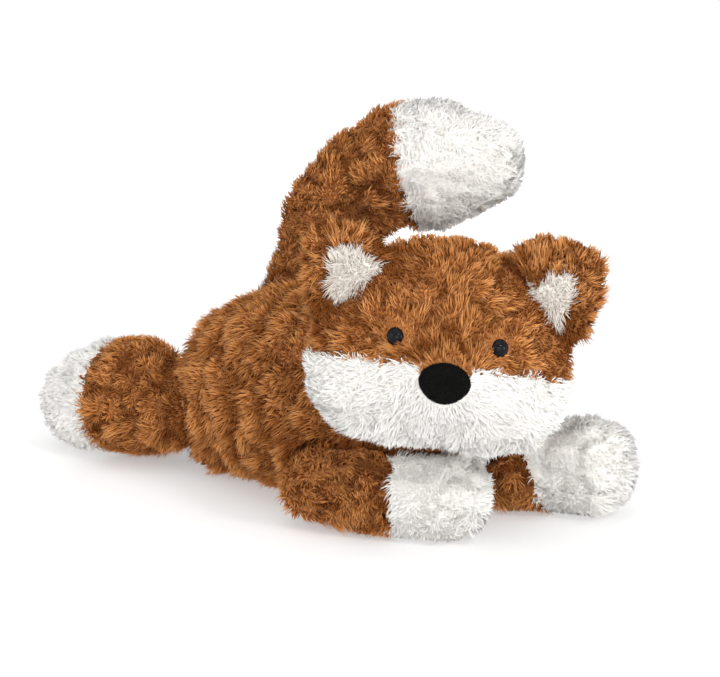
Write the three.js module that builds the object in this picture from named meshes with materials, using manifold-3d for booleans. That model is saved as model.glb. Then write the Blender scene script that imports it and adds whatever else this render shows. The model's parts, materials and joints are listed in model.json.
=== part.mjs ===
// A plush fox lying on its belly, with its head turned to its right and its tail curled up over its back.
// Millimetres. The fox faces -Y, its own left side is +X, and +Z is up. The origin is on the floor, on the flat
// that the belly rests on. Every skin is pile fabric: its outer face is where the pile ends.

import * as THREE from "three";
import { mergeVertices } from "three/addons/utils/BufferGeometryUtils.js";
import Module from "manifold-3d";

const wasm = await Module();
wasm.setup();

// Fabric, seams and clearances
const skinWall = 6; // knitted backing with its pile
const seamGap = 0.3; // between two pieces that are sewn or lie against each other
const swivelGap = 1.2; // between a ball and its socket, both made of flat facets
const facetSag = 1.7; // how far a coarse form's facets lie inside the smooth one
const sweepStep = 25; // degrees between the places in which a neighbour is cut away from a piece that turns
const floorCut = 0.5; // how far a form is flattened where it lies on the floor
const cutSize = 500; // side of the boxes that cut along a plane

// Body: from the middle of its neck ball back to the middle of its rump. It bends towards the fox's left in front
const bodyFront = 76;
const bodyBack = 46;
const bodyBend = 20;
const bodyShift = -3;
const neckHeight = 62;
const chestHeight = 55;
const neckRadius = 42;
const chestRadius = 48;
const bellyRadius = 54;
const rumpRadius = 48;
const rumpDepth = 32;
const bibHalfWidth = 32;
const bibBottom = 12;
const bibTop = 54;
const bibHeading = 30;

// Neck: the wad of filling that carries the head
const wadRadius = 18;
const stemRadius = 9;
const neckTurn = 20;
const neckNod = 15;

// Head: half its width, depth and height, before the muzzle and cheeks swell out of it
const headHalfWidth = 59.5;
const headHalfDepth = 45;
const headHalfHeight = 48;
const muzzleSwell = 12;
const cheekSwell = 13;
const headPlace = new THREE.Vector3(-11.5, -116.5, 98);
const headYaw = -39;
const headRoll = 6.5;
const maskHeight = -11;
const maskRise = 13;
const maskDepth = 8;
const bridgeHalfWidth = 12;
const bridgeDrop = 9;

// Eyes: domed beads on a shank, each held by a washer behind the skin
const eyeRadius = 4.2;
const eyeDome = 3.6;
const eyeSink = 3;
const eyeSpread = 24.2;
const eyeHeight = 9;
const eyeParting = 1;
const shankRadius = 1.6;
const shankLength = 8.5;
const washerRadius = 6;
const washerThickness = 1.2;

// Nose: a stuffed oval of felt, narrower towards its lower end
const noseWidth = 25;
const noseHeight = 20;
const noseThickness = 14;
const noseDrop = 6;
const noseLean = 8;

// Ears, and the white lining let into the front of each
const earBase = 50;
const earHeight = 46;
const earThickness = 13;
const earOut = 33;
const earForward = 16;
const earUp = 15;
const earTilt = 50;
const earFold = 20;
const earStep = 8; // degrees between the places in which the head is cut away from an ear
const liningBase = 29;
const liningHeight = 28;
const liningThickness = 5;
const liningShift = -2.5;
const liningRise = 4;

// Front legs, from the ball in the shoulder to the middle of the paw
const armLength = 68;
const armBallRadius = 19;
const armRadius = 23.8;
const pawRadius = 23;
const pawDepth = 21;
const leftArmLength = 71;
const leftPawRadius = 27;
const leftPawDepth = 23;
const pawSeam = 26;
const shoulderOut = 38;
const shoulderMiddle = 2;
const shoulderFront = 61;
const shoulderTwist = 6;
const rightArmHeading = 34;
const leftArmHeading = 37;
const leftPawSeam = 33;
const leftSeamTilt = 20;
const armOutSwing = 40;
const armInSwing = 10;

// Hind legs, from the ball in the hip to the middle of the foot
const legLength = 72;
const legBallRadius = 25;
const legRadius = 35.5;
const footRadius = 28;
const footDepth = 24;
const footSeam = 31;
const hipOut = 28;
const hipBack = 75;
const rightLegHeading = 18;
const leftLegHeading = 22;
const legLift = 25;
const legDrop = 15;

// Tail: in an upright plane that leans over towards the fox's left
const tailReach = 106;
const tailRise = 86;
const tailRootRadius = 17;
const tailRadius = 30;
const tailFullRadius = 38;
const tailTipRadius = 26;
const tailTipDepth = 23;
const tailSeam = 38;
const tailHeading = 38;
const tailRoot = new THREE.Vector3(19, 50, 84);
const tailFold = 40;

// Bag of plastic pellets that weights the belly, and how far its underside is pressed in by the skin
const pelletLength = 74;
const pelletWidth = 54;
const pelletThickness = 21;
const pelletPress = 4;

// The tail's path in its plane, as shares of its reach and of its rise
const tailPathShares = [
  [0, 0],
  [0.2, 0.31],
  [0.3, 0.59],
  [0.43, 0.81],
  [0.64, 0.92],
  [0.83, 0.93],
  [1, 0.95],
];

// Where the ear's outline has its tip and its fullest points, as shares of its base and of its height
const earTipShare = -0.14;
const earFullShare = 0.55;
const earTipWidthShare = 0.12;

// How far round the head its swellings spread, in radians, and the way that each points
const muzzleSpread = 0.36;
const cheekSpread = 0.5;
const muzzleDirection = new THREE.Vector3(0, -1, -0.22).normalize();
const cheekDirection = new THREE.Vector3(0.74, -0.36, -0.58).normalize();
const noseNarrowShare = 0.14;
const flatCrownShare = 1 / 3;
const roundCrownShare = 1 / 2;

// How finely each kind of form is divided
const bodyGrid = { around: 20, cap: 3, along: 4 };
const limbGrid = { around: 12, cap: 2, along: 3 };
const tailGrid = { around: 12, cap: 2, along: 7 };
const insideGrid = { around: 8, cap: 2, along: 3 };
const tailInsideGrid = { around: 8, cap: 1, along: 6 };
const bodyCutGrid = { around: 12, cap: 3, along: 4 };
const bodyRoughGrid = { around: 10, cap: 2, along: 2 };
const headGrid = { around: 20, rings: 11 };
const headInsideGrid = { around: 12, rings: 7 };
const ballGrid = { around: 24, rings: 12 };
const socketGrid = { around: 12, rings: 6 };
const smallGrid = { around: 12, rings: 6 };
const earGrid = { around: 14, rings: 4 };

const X = new THREE.Vector3(1, 0, 0);
const Y = new THREE.Vector3(0, 1, 0);
const Z = new THREE.Vector3(0, 0, 1);
const origin = new THREE.Vector3();
const radians = THREE.MathUtils.degToRad;

// Solids, and how they are moved and cut

function solidFrom(geometry) {
  const bare = geometry.clone();
  bare.deleteAttribute("normal");
  bare.deleteAttribute("uv");
  const merged = mergeVertices(bare);
  const mesh = new wasm.Mesh({
    numProp: 3,
    vertProperties: new Float32Array(merged.attributes.position.array),
    triVerts: new Uint32Array(merged.index.array),
  });
  return new wasm.Manifold(mesh);
}

function geometryFrom(solid) {
  const mesh = solid.getMesh();
  const places = new Float32Array(mesh.numVert * 3);
  for (let i = 0; i < mesh.numVert; i++) {
    places.set(mesh.vertProperties.subarray(i * mesh.numProp, i * mesh.numProp + 3), i * 3);
  }
  const geometry = new THREE.BufferGeometry();
  geometry.setAttribute("position", new THREE.BufferAttribute(places, 3));
  geometry.setIndex(new THREE.BufferAttribute(mesh.triVerts, 1));
  return geometry;
}

function moved(solid, matrix) {
  return solidFrom(geometryFrom(solid).applyMatrix4(matrix));
}

function turnAbout(point, axis, degrees) {
  const turn = new THREE.Matrix4().makeRotationAxis(axis, radians(degrees));
  const there = new THREE.Matrix4().makeTranslation(point.x, point.y, point.z);
  const back = new THREE.Matrix4().makeTranslation(-point.x, -point.y, -point.z);
  return there.multiply(turn).multiply(back);
}

function cutBy(solid, cutters) {
  return cutters.reduce((left, cutter) => left.subtract(cutter), solid);
}

function ball(point, radius, grid = ballGrid) {
  const geometry = new THREE.SphereGeometry(radius, grid.around, grid.rings);
  geometry.rotateX(Math.PI / 2);
  geometry.translate(point.x, point.y, point.z);
  return solidFrom(geometry);
}

// Everything on the side of a plane that its normal points to
function halfSpace(point, normal) {
  const geometry = new THREE.BoxGeometry(cutSize, cutSize, cutSize);
  geometry.translate(0, 0, cutSize / 2);
  geometry.applyQuaternion(new THREE.Quaternion().setFromUnitVectors(Z, normal));
  geometry.translate(point.x, point.y, point.z);
  return solidFrom(geometry);
}

// A box given by two opposite corners, on a frame whose -Y side points along a heading
function headedBox(low, high, degrees, point) {
  const geometry = new THREE.BoxGeometry(high.x - low.x, high.y - low.y, high.z - low.z);
  const middle = low.clone().lerp(high, 1 / 2);
  geometry.translate(middle.x, middle.y, middle.z);
  geometry.rotateZ(radians(degrees));
  geometry.translate(point.x, point.y, point.z);
  return solidFrom(geometry);
}

const belowFloor = halfSpace(origin, Z.clone().negate());

// A neighbour, in the places that it takes as seen from a piece that turns about a joint
function seenFromTurning(neighbour, pivot, axis, [low, high], step = sweepStep) {
  const steps = Math.ceil((high - low) / step);
  return Array.from({ length: steps + 1 }, (_, k) => {
    const degrees = THREE.MathUtils.lerp(low, high, k / steps);
    return moved(neighbour, turnAbout(pivot, axis, -degrees));
  });
}

// Closes a stack of rings of points, with a point at each end
function loft(first, rings, last) {
  const around = rings[0].length;
  const points = [first, ...rings.flat(), last];
  const at = (ring, i) => 1 + ring * around + (i % around);
  const faces = [];
  for (let i = 0; i < around; i++) {
    faces.push(0, at(0, i + 1), at(0, i));
    for (let ring = 0; ring + 1 < rings.length; ring++) {
      faces.push(at(ring, i), at(ring, i + 1), at(ring + 1, i));
      faces.push(at(ring, i + 1), at(ring + 1, i + 1), at(ring + 1, i));
    }
    faces.push(at(rings.length - 1, i), at(rings.length - 1, i + 1), points.length - 1);
  }
  const geometry = new THREE.BufferGeometry().setFromPoints(points);
  geometry.setIndex(faces);
  const solid = solidFrom(geometry);
  if (solid.volume() > 0) {
    return solid;
  }
  geometry.setIndex(faces.reverse());
  return solidFrom(geometry);
}

// A smooth curve through evenly spaced values, read at a share of its length
function smooth(values, share) {
  const place = share * (values.length - 1);
  const left = Math.min(Math.floor(place), values.length - 2);
  const value = (i) => values[THREE.MathUtils.clamp(i, 0, values.length - 1)];
  const [a, b, c, d] = [value(left - 1), value(left), value(left + 1), value(left + 2)];
  const t = place - left;
  return b + (t / 2) * (c - a + t * (2 * a - 5 * b + 4 * c - d + t * (3 * (b - c) + d - a)));
}

// Stuffed tubes: the body, the legs and the tail. Each starts with a ball round its joint, swells and tapers
// along its path and ends in a rounded tip. An outset grows it all round, and a negative one gives its inside.

function tubeForm(tube, outset, grid) {
  const path = new THREE.CatmullRomCurve3(tube.points);
  const length = path.getLength();
  const startRadius = tube.radii[0] + outset;
  const endRadius = tube.radii[tube.radii.length - 1] + outset;
  const endDepth = tube.endDepth + outset;
  const tangentAt = (along) => path.getTangentAt(THREE.MathUtils.clamp(along / length, 0, 1));
  const place = (along) => {
    const share = THREE.MathUtils.clamp(along / length, 0, 1);
    return path.getPointAt(share).addScaledVector(tangentAt(along), along - share * length);
  };
  const ring = (along, radius) => {
    const tangent = tangentAt(along);
    const side = tube.side ? tube.side.clone() : tangent.clone().cross(Z).normalize();
    const top = side.clone().cross(tangent);
    return Array.from({ length: grid.around }, (_, i) => {
      const angle = (2 * Math.PI * i) / grid.around;
      return place(along)
        .addScaledVector(side, Math.cos(angle) * radius)
        .addScaledVector(top, Math.sin(angle) * radius);
    });
  };
  const rings = [];
  for (let k = 1; k <= grid.cap; k++) {
    const angle = (k / grid.cap) * (Math.PI / 2);
    rings.push(ring(-startRadius * Math.cos(angle), startRadius * Math.sin(angle)));
  }
  for (let k = 1; k <= grid.along; k++) {
    const share = k / grid.along;
    rings.push(ring(share * length, smooth(tube.radii, share) + outset));
  }
  for (let k = 1; k < grid.cap; k++) {
    const angle = (k / grid.cap) * (Math.PI / 2);
    rings.push(ring(length + endDepth * Math.sin(angle), endRadius * Math.cos(angle)));
  }
  return loft(place(-startRadius), rings, place(length + endDepth));
}

// The skin and the filling of a tube, each cut by what it has to clear
function stuffedTube(tube, cutters, grid, inner) {
  const inside = tubeForm(tube, -skinWall, inner);
  const skin = cutBy(tubeForm(tube, 0, grid), [inside, belowFloor, ...cutters]);
  const filling = cutBy(tubeForm(tube, -skinWall - seamGap, inner), cutters);
  return { skin, filling };
}

// Splits a skin along a sewn seam
function splitAtSeam(skin, point, normal) {
  const ahead = point.clone().addScaledVector(normal, seamGap / 2);
  const behind = point.clone().addScaledVector(normal, -seamGap / 2);
  return { near: skin.subtract(halfSpace(behind, normal)), far: skin.intersect(halfSpace(ahead, normal)) };
}

// The direction along the floor that is turned this many degrees from -Y towards +X
function heading(degrees) {
  return new THREE.Vector3(Math.sin(radians(degrees)), -Math.cos(radians(degrees)), 0);
}

// Pillows: stuffed or layered pieces with an outline in X and Z and a crown on both faces
function pillow(points, thickness, levels, crownShare) {
  const centre = points.reduce((sum, p) => sum.add(p), new THREE.Vector2()).divideScalar(points.length);
  const level = (k) => {
    const angle = (k / levels - 1 / 2) * Math.PI;
    const share = Math.cos(angle) ** crownShare;
    return points.map((p) => {
      const place = centre.clone().lerp(p, share);
      return new THREE.Vector3(place.x, (thickness / 2) * Math.sin(angle), place.y);
    });
  };
  const rings = Array.from({ length: levels - 1 }, (_, k) => level(k + 1));
  const front = new THREE.Vector3(centre.x, -thickness / 2, centre.y);
  const back = new THREE.Vector3(centre.x, thickness / 2, centre.y);
  return loft(front, rings, back);
}

// Body, legs and tail as tubes

const bellyHeight = bellyRadius - floorCut;
const rumpHeight = rumpRadius - floorCut;
const bodyHeights = [neckHeight, chestHeight, bellyHeight, bellyHeight, rumpHeight];
const bodyTube = {
  points: bodyHeights.map((height, i) => {
    const share = i / (bodyHeights.length - 1);
    const bend = bodyBend * (1 - share) ** 2 + bodyShift;
    return new THREE.Vector3(bend, THREE.MathUtils.lerp(-bodyFront, bodyBack, share), height);
  }),
  radii: [neckRadius, chestRadius, bellyRadius, bellyRadius, rumpRadius],
  endDepth: rumpDepth,
};
const neck = bodyTube.points[0];

function limb(name, tip, joint, direction, sizes, axis, angles, seam) {
  const end = joint.clone().addScaledVector(direction, sizes.length);
  end.z = sizes.tipRadius - floorCut;
  const middle = joint.clone().lerp(end, 1 / 2).setZ(sizes.radius - floorCut);
  const radii = [sizes.ballRadius, sizes.radius, sizes.radius, sizes.tipRadius];
  const tube = { points: [joint, middle, end], radii, endDepth: sizes.tipDepth };
  return { name, tip, joint, direction, axis, angles, seam, tube, end };
}

const armSizes = {
  length: armLength,
  ballRadius: armBallRadius,
  radius: armRadius,
  tipRadius: pawRadius,
  tipDepth: pawDepth,
};
const leftArmSizes = { ...armSizes, length: leftArmLength, tipRadius: leftPawRadius, tipDepth: leftPawDepth };
const legSizes = {
  length: legLength,
  ballRadius: legBallRadius,
  radius: legRadius,
  tipRadius: footRadius,
  tipDepth: footDepth,
};

function shoulder(side) {
  const place = new THREE.Vector3(shoulderMiddle + side * shoulderOut, -shoulderFront - side * shoulderTwist, 0);
  return place.setZ(armRadius - floorCut);
}

function hip(side) {
  return new THREE.Vector3(bodyShift + side * hipOut, hipBack, legRadius - floorCut);
}

const rightSwing = [-armOutSwing, 0];
const leftSwing = [-armInSwing, armOutSwing];
const legSwing = [-legDrop, legLift];
const pawCut = { back: pawSeam, tilt: 0 };
const leftPawCut = { back: leftPawSeam, tilt: leftSeamTilt };
const footCut = { back: footSeam, tilt: 0 };
const rightBack = heading(180 + rightLegHeading);
const leftBack = heading(180 - leftLegHeading);
const limbs = [
  limb("arm_right", "paw_right", shoulder(-1), heading(rightArmHeading), armSizes, Z, rightSwing, pawCut),
  limb("arm_left", "paw_left", shoulder(1), heading(leftArmHeading), leftArmSizes, Z, leftSwing, leftPawCut),
  limb("leg_right", "foot_right", hip(-1), rightBack, legSizes, X, legSwing, footCut),
  limb("leg_left", "foot_left", hip(1), leftBack, legSizes, X, legSwing, footCut),
];

const tailForward = heading(tailHeading);
const tailSide = tailForward.clone().cross(Z).normalize();
const tailTube = {
  points: tailPathShares.map(([reach, rise]) =>
    tailRoot.clone().addScaledVector(tailForward, reach * tailReach).addScaledVector(Z, rise * tailRise),
  ),
  radii: [
    tailRootRadius,
    (tailRootRadius + tailRadius) / 2,
    tailRadius,
    tailRadius,
    tailFullRadius,
    tailTipRadius,
  ],
  endDepth: tailTipDepth,
  side: tailSide,
};
const tailAngles = [0, tailFold];

// Sockets in the body for the balls of the legs and the tail, and the body as those pieces see it

const balls = [...limbs.map((l) => [l.joint, l.tube.radii[0]]), [tailRoot, tailRootRadius]];
const sockets = balls.map(([joint, radius]) => ball(joint, radius + swivelGap, socketGrid));
const bodyAround = tubeForm(bodyTube, seamGap + facetSag, bodyCutGrid);

function clearOfBody(joint, radius, axis, angles) {
  const neighbour = bodyAround.subtract(ball(joint, radius, socketGrid));
  return seenFromTurning(neighbour, joint, axis, angles);
}

// Pieces, by name

const pieces = {};
function add(name, solid, [color, roughness]) {
  const material = new THREE.MeshStandardMaterial({ color, roughness, metalness: 0 });
  const mesh = new THREE.Mesh(geometryFrom(solid), material);
  mesh.name = name;
  pieces[name] = mesh;
}
const brown = [0x9c5a22, 0.95];
const white = [0xefebe4, 0.95];
const wool = [0xf6f4ef, 1];
const sack = [0xd9d6cc, 0.9];
const felt = [0x111111, 0.95];
const gloss = [0x050505, 0.08];
const plastic = [0xe8e8e8, 0.5];

for (const l of limbs) {
  const clear = clearOfBody(l.joint, l.tube.radii[0], l.axis, l.angles);
  const { skin, filling } = stuffedTube(l.tube, clear, limbGrid, insideGrid);
  const seamPoint = l.end.clone().addScaledVector(l.direction, -l.seam.back);
  const across = l.direction.clone().cross(Z).normalize();
  const seamNormal = l.direction.clone().applyAxisAngle(across, radians(l.seam.tilt));
  const { near, far } = splitAtSeam(skin, seamPoint, seamNormal);
  add(`${l.name}_sleeve`, near, brown);
  add(l.tip, far, white);
  add(`${l.name}_filling`, filling, wool);
}

const tailClear = clearOfBody(tailRoot, tailRootRadius, tailSide, tailAngles);
const tail = stuffedTube(tailTube, tailClear, tailGrid, tailInsideGrid);
const tailCurve = new THREE.CatmullRomCurve3(tailTube.points);
const tailShare = 1 - tailSeam / tailCurve.getLength();
const tailEnds = splitAtSeam(tail.skin, tailCurve.getPointAt(tailShare), tailCurve.getTangentAt(tailShare));
add("tail_sleeve", tailEnds.near, brown);
add("tail_tip", tailEnds.far, white);
add("tail_filling", tail.filling, wool);

// Neck: a wad that lies on the filling under it. Its stem goes out through the front of the body and ends level
// with the neck ball

const headWay = Math.atan2(headPlace.x - neck.x, neck.y - headPlace.y);
const headWayDegrees = THREE.MathUtils.radToDeg(headWay);

function stemForm(radius, length, degrees) {
  const geometry = new THREE.CylinderGeometry(radius, radius, length, smallGrid.around);
  geometry.translate(0, -length / 2, 0);
  geometry.rotateZ(radians(degrees));
  geometry.translate(neck.x, neck.y, neck.z);
  return solidFrom(geometry);
}

// The way out that the stem sweeps as the head turns
function stemWay() {
  const radius = stemRadius + seamGap + facetSag;
  const reach = 2 * neckRadius;
  const ahead = (turn) => heading(headWayDegrees + turn);
  const beside = (turn) => ahead(turn).cross(Z).multiplyScalar(Math.sign(turn) * -radius);
  const outline = new THREE.Shape();
  const corners = [
    beside(-neckTurn),
    beside(-neckTurn).addScaledVector(ahead(-neckTurn), reach),
    ahead(0).multiplyScalar(reach),
    beside(neckTurn).addScaledVector(ahead(neckTurn), reach),
    beside(neckTurn),
  ];
  outline.setFromPoints(corners.map((corner) => new THREE.Vector2(corner.x, corner.y)));
  const geometry = new THREE.ExtrudeGeometry(outline, { depth: 2 * radius, bevelEnabled: false });
  geometry.translate(neck.x, neck.y, neck.z - radius);
  return solidFrom(geometry);
}

const wad = ball(neck, wadRadius)
  .add(stemForm(stemRadius, neckRadius + stemRadius, headWayDegrees))
  .intersect(ball(neck, neckRadius));
const wadSeat = neck.clone().addScaledVector(Z, swivelGap - seamGap);
const neckCuts = [ball(wadSeat, wadRadius + swivelGap), stemWay()];
add("neck_filling", wad, wool);

// Body: its skin with the white bib let into the chest, its filling, and the bag of pellets in it

function pelletBag(outset) {
  const curve = new THREE.EllipseCurve(0, 0, pelletWidth / 2 + outset, pelletLength / 2 + outset);
  const points = curve.getPoints(smallGrid.around).slice(1);
  const bag = pillow(points, pelletThickness + 2 * outset, smallGrid.rings, roundCrownShare);
  const lay = new THREE.Matrix4().makeRotationX(Math.PI / 2);
  return moved(bag, lay.setPosition(0, 0, skinWall - pelletPress + pelletThickness / 2));
}

function bibBlock(outset) {
  const low = new THREE.Vector3(-bibHalfWidth - outset, -cutSize, bibBottom - outset - neckHeight);
  const high = new THREE.Vector3(bibHalfWidth + outset, -neckRadius / 4, bibTop + outset - neckHeight);
  return headedBox(low, high, bibHeading, neck);
}

const body = stuffedTube(bodyTube, [...sockets, ...neckCuts], bodyGrid, insideGrid);
add("body_skin", body.skin.subtract(bibBlock(seamGap / 2)), brown);
add("chest_bib", body.skin.intersect(bibBlock(-seamGap / 2)), white);
add("body_filling", body.filling.subtract(pelletBag(seamGap)), wool);
add("pellet_bag", pelletBag(0).intersect(tubeForm(bodyTube, -skinWall - seamGap, insideGrid)), sack);

// Head: an ellipsoid with a muzzle and two cheeks swelling out of it, in its own frame

function swelling(direction, centre, spread) {
  const away = direction.angleTo(centre) / spread;
  return Math.exp(-away * away);
}

function headRadius(direction) {
  const across = direction.x / headHalfWidth;
  const deep = direction.y / headHalfDepth;
  const high = direction.z / headHalfHeight;
  const plain = 1 / Math.hypot(across, deep, high);
  const mirrored = direction.clone().setX(Math.abs(direction.x));
  const muzzle = muzzleSwell * swelling(mirrored, muzzleDirection, muzzleSpread);
  const cheek = cheekSwell * swelling(mirrored, cheekDirection, cheekSpread);
  return plain + muzzle + cheek;
}

function headForm(outset, grid) {
  const place = (polar, turn) => {
    const direction = new THREE.Vector3(0, 0, 1).applyAxisAngle(X, polar).applyAxisAngle(Z, turn);
    return direction.clone().multiplyScalar(headRadius(direction) + outset);
  };
  const rings = Array.from({ length: grid.rings - 1 }, (_, k) =>
    Array.from({ length: grid.around }, (_, i) =>
      place(((k + 1) / grid.rings) * Math.PI, ((2 * Math.PI) / grid.around) * i),
    ),
  );
  return loft(place(0, 0), rings, place(Math.PI, 0));
}

// The point of the head's outer face that lies this far to the side and this high
function faceAt(side, height) {
  let depth = headHalfDepth;
  for (let i = 0; i < headGrid.around; i++) {
    const direction = new THREE.Vector3(side, -depth, height).normalize();
    depth = -direction.y * headRadius(direction);
  }
  return new THREE.Vector3(side, -depth, height);
}

const headTurn = new THREE.Euler(0, radians(headRoll), radians(headYaw), "ZYX");
const headMatrix = new THREE.Matrix4().makeRotationFromEuler(headTurn).setPosition(headPlace);
const headInverse = headMatrix.clone().invert();
const nodAxis = X.clone().applyAxisAngle(Z, radians(headYaw));
const neckInHead = neck.clone().applyMatrix4(headInverse);
const neckSocket = ball(neckInHead, neckRadius + swivelGap + facetSag, socketGrid);

// The body behind the neck ball, in each place that it takes as seen from the head
const headClear = [neckSocket];
const bodyBehind = tubeForm(bodyTube, 2 * facetSag, bodyRoughGrid);
for (const [turn, nod] of [[-neckTurn, 0], [neckTurn, 0], [0, -neckNod]]) {
  const turned = turnAbout(neck, nodAxis, -nod).multiply(turnAbout(neck, Z, -turn));
  headClear.push(moved(bodyBehind, turned.premultiply(headInverse)));
}

// Eyes

function onFace(geometry, side) {
  const seat = faceAt(side * eyeSpread, eyeHeight);
  const out = seat.clone().normalize();
  seat.addScaledVector(out, -eyeSink);
  geometry.applyQuaternion(new THREE.Quaternion().setFromUnitVectors(Y, out));
  geometry.translate(seat.x, seat.y, seat.z);
  return solidFrom(geometry);
}

function eyeForm(side, outset) {
  const dome = Array.from({ length: smallGrid.rings }, (_, k) => {
    const angle = (k / (smallGrid.rings - 1)) * (Math.PI / 2);
    return new THREE.Vector2((eyeRadius + outset) * Math.cos(angle), (eyeDome + outset) * Math.sin(angle));
  });
  dome[dome.length - 1].x = 0;
  const profile = [
    new THREE.Vector2(0, -shankLength - outset),
    new THREE.Vector2(shankRadius + outset, -shankLength - outset),
    new THREE.Vector2(shankRadius + outset, -outset),
    new THREE.Vector2(eyeRadius + outset, -outset),
    ...dome,
  ];
  return onFace(new THREE.LatheGeometry(profile, smallGrid.around), side);
}

// Where the pile is parted round an eye
function eyeWell(side) {
  const geometry = new THREE.CylinderGeometry(eyeRadius + eyeParting, eyeRadius, 2 * eyeSink, smallGrid.around);
  geometry.translate(0, eyeSink, 0);
  return onFace(geometry, side);
}

const washerTop = eyeSink - skinWall - seamGap;

function washerForm(side) {
  const inner = shankRadius + seamGap;
  const profile = [
    new THREE.Vector2(inner, washerTop - washerThickness),
    new THREE.Vector2(washerRadius, washerTop - washerThickness),
    new THREE.Vector2(washerRadius, washerTop),
    new THREE.Vector2(inner, washerTop),
    new THREE.Vector2(inner, washerTop - washerThickness),
  ];
  return onFace(new THREE.LatheGeometry(profile, smallGrid.around), side);
}

function washerRoom(side) {
  const radius = washerRadius + seamGap;
  const height = washerThickness + 2 * seamGap;
  const geometry = new THREE.CylinderGeometry(radius, radius, height, smallGrid.around);
  geometry.translate(0, washerTop - washerThickness / 2, 0);
  return onFace(geometry, side);
}

// Nose

function noseForm(outset) {
  const points = Array.from({ length: ballGrid.around }, (_, i) => {
    const angle = (2 * Math.PI * i) / ballGrid.around;
    const narrow = 1 - noseNarrowShare * Math.max(0, -Math.sin(angle));
    return new THREE.Vector2(
      (noseWidth / 2 + outset) * Math.cos(angle) * narrow,
      (noseHeight / 2 + outset) * Math.sin(angle),
    );
  });
  const flat = pillow(points, noseThickness + 2 * outset, smallGrid.rings, roundCrownShare);
  const lean = new THREE.Matrix4().makeRotationX(radians(-noseLean));
  return moved(flat, lean.setPosition(faceAt(0, -noseDrop)));
}

// The white mask covers the muzzle, cheeks and chin. Its top edge rises towards the front, and the brown crown
// dips into it over the nose
function maskBlock(outset) {
  const reach = headHalfWidth * 2;
  const shape = new THREE.Shape();
  shape.moveTo(-reach, -reach);
  shape.lineTo(reach, -reach);
  shape.lineTo(reach, outset);
  shape.lineTo(bridgeHalfWidth - outset, outset);
  shape.lineTo(bridgeHalfWidth * (2 / 3) - outset, outset - bridgeDrop);
  shape.lineTo(outset - bridgeHalfWidth * (2 / 3), outset - bridgeDrop);
  shape.lineTo(outset - bridgeHalfWidth, outset);
  shape.lineTo(-reach, outset);
  const geometry = new THREE.ExtrudeGeometry(shape, { depth: reach, bevelEnabled: false });
  geometry.rotateX(Math.PI / 2);
  geometry.translate(0, maskDepth + outset, 0);
  geometry.rotateX(radians(-maskRise));
  geometry.translate(0, 0, maskHeight);
  return solidFrom(geometry);
}

const sides = { right: -1, left: 1 };
const eyeCuts = Object.values(sides).map((side) => eyeForm(side, seamGap));
const eyeWells = Object.values(sides).map(eyeWell);
const washerRooms = Object.values(sides).map(washerRoom);
const headInside = headForm(-skinWall, headInsideGrid);
const faceCuts = [noseForm(seamGap), ...eyeCuts, ...washerRooms];
const headSkin = cutBy(headForm(0, headGrid), [headInside, ...headClear, ...faceCuts, ...eyeWells]);
const headWool = headForm(-skinWall - seamGap, headInsideGrid);
add("head_crown", headSkin.subtract(maskBlock(seamGap / 2)), brown);
add("face_mask", headSkin.intersect(maskBlock(-seamGap / 2)), white);
add("head_filling", cutBy(headWool, [...headClear, ...faceCuts]), wool);
add("nose", noseForm(0), felt);
for (const [name, side] of Object.entries(sides)) {
  add(`eye_${name}`, eyeForm(side, 0), gloss);
  add(`eye_washer_${name}`, washerForm(side), plastic);
}

// Ears: outlined for the fox's left, with the tip towards the middle of the head

function earOutline(base, height, side, outset) {
  const half = base / 2 + outset;
  const top = height + outset;
  const tip = base * earTipShare;
  const tipWidth = base * earTipWidthShare;
  const shape = new THREE.Shape();
  shape.moveTo(half, -outset);
  shape.quadraticCurveTo(half, top * earFullShare, tip + tipWidth, top);
  shape.quadraticCurveTo(tip, top + tipWidth / 2, tip - tipWidth, top);
  shape.quadraticCurveTo(-half, top * earFullShare, -half, -outset);
  shape.lineTo(half, -outset);
  const points = shape.getSpacedPoints(earGrid.around).slice(1);
  return points.map((p) => new THREE.Vector2(p.x * side, p.y));
}

function earForm(side) {
  const points = earOutline(earBase, earHeight, side, 0);
  return pillow(points, earThickness, earGrid.rings, flatCrownShare);
}

function liningForm(side, outset) {
  const points = earOutline(liningBase, liningHeight, side, outset);
  const flat = pillow(points, liningThickness + 2 * outset, smallGrid.rings, flatCrownShare);
  const depth = -earThickness / 2 + liningThickness / 4;
  return moved(flat, new THREE.Matrix4().makeTranslation(side * liningShift, depth, liningRise));
}

function earMatrix(side) {
  return new THREE.Matrix4().makeRotationY(radians(side * earTilt)).setPosition(side * earOut, -earForward, earUp);
}

const earAngles = [-earFold, earFold];
const headAround = headForm(seamGap, headGrid);
const ears = {};
for (const [name, side] of Object.entries(sides)) {
  const headFromEar = moved(headAround, earMatrix(side).invert());
  const clear = seenFromTurning(headFromEar, origin, X, earAngles, earStep);
  add(`ear_${name}`, cutBy(earForm(side), [...clear, liningForm(side, seamGap)]), brown);
  add(`ear_lining_${name}`, cutBy(liningForm(side, 0), clear), white);
  ears[name] = new THREE.Group();
  ears[name].applyMatrix4(earMatrix(side));
  ears[name].add(pieces[`ear_${name}`], pieces[`ear_lining_${name}`]);
}

// Assembly: a group for each piece that moves, placed at its joint

function groupAt(joint, names) {
  const group = new THREE.Group();
  group.position.copy(joint);
  for (const name of names) {
    pieces[name].geometry.translate(-joint.x, -joint.y, -joint.z);
    group.add(pieces[name]);
  }
  return group;
}

const fox = new THREE.Group();
fox.add(groupAt(origin, ["body_skin", "chest_bib", "body_filling", "pellet_bag"]));
fox.add(groupAt(neck, ["neck_filling"]));
fox.add(groupAt(tailRoot, ["tail_sleeve", "tail_tip", "tail_filling"]));
for (const l of limbs) {
  fox.add(groupAt(l.joint, [`${l.name}_sleeve`, l.tip, `${l.name}_filling`]));
}

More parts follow.
